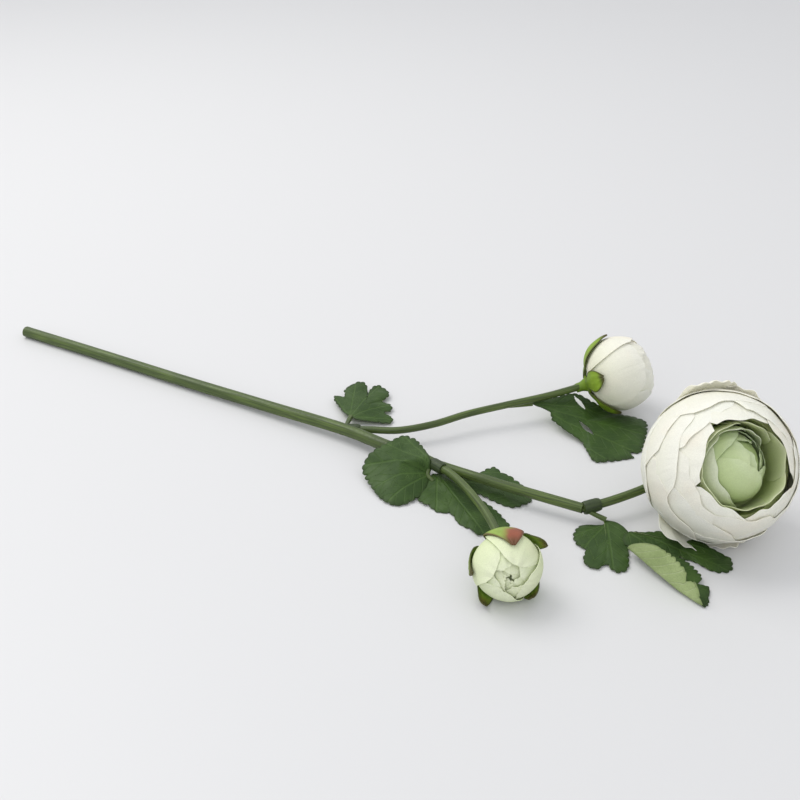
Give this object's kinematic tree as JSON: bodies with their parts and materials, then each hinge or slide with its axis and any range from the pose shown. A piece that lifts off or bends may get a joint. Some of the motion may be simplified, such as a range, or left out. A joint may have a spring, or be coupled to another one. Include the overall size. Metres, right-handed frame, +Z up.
{
  "type": "artificial camellia flower spray",
  "caption": "Artificial flower spray that lies on a surface: a green plastic stem with an open creamy bloom, closed buds and cut fabric leaves.",
  "frame": {"origin": "under the middle of the spray's box, at table height", "axes": "+X along the main stem, from its cut end to the open bloom; +Y towards the back bud; +Z up from the table"},
  "size_m": [0.4768, 0.2143, 0.0722],
  "materials": {
    "stem": "satin moulded, with a faint grain along the stem",
    "white_petal": "matt fine cloth, creamy white",
    "green_petal": "matt fine cloth, yellow-green",
    "pale_green_petal": "matt fine cloth, pale green cream",
    "sepal": "matt pressed cloth, green with red-brown tips",
    "leaf": "matt pressed cloth, dark green above and pale below"
  },
  "bodies": {
    "root": {"main_stem": "stem", "bloom_stem": "stem", "front_bud_stem": "stem", "back_bud_stem": "stem", "bloom_outer_petals": "white_petal", "bloom_heart_petals": "green_petal", "bloom_calyx": "sepal", "front_bud_petals": "pale_green_petal", "front_bud_sepals": "sepal", "back_bud_petals": "white_petal", "back_bud_sepals": "sepal", "leaf_back_fork": "leaf", "leaf_front_fork": "leaf", "leaf_back_bud": "leaf", "leaf_last_fork": "leaf"}
  },
  "joints": []
}
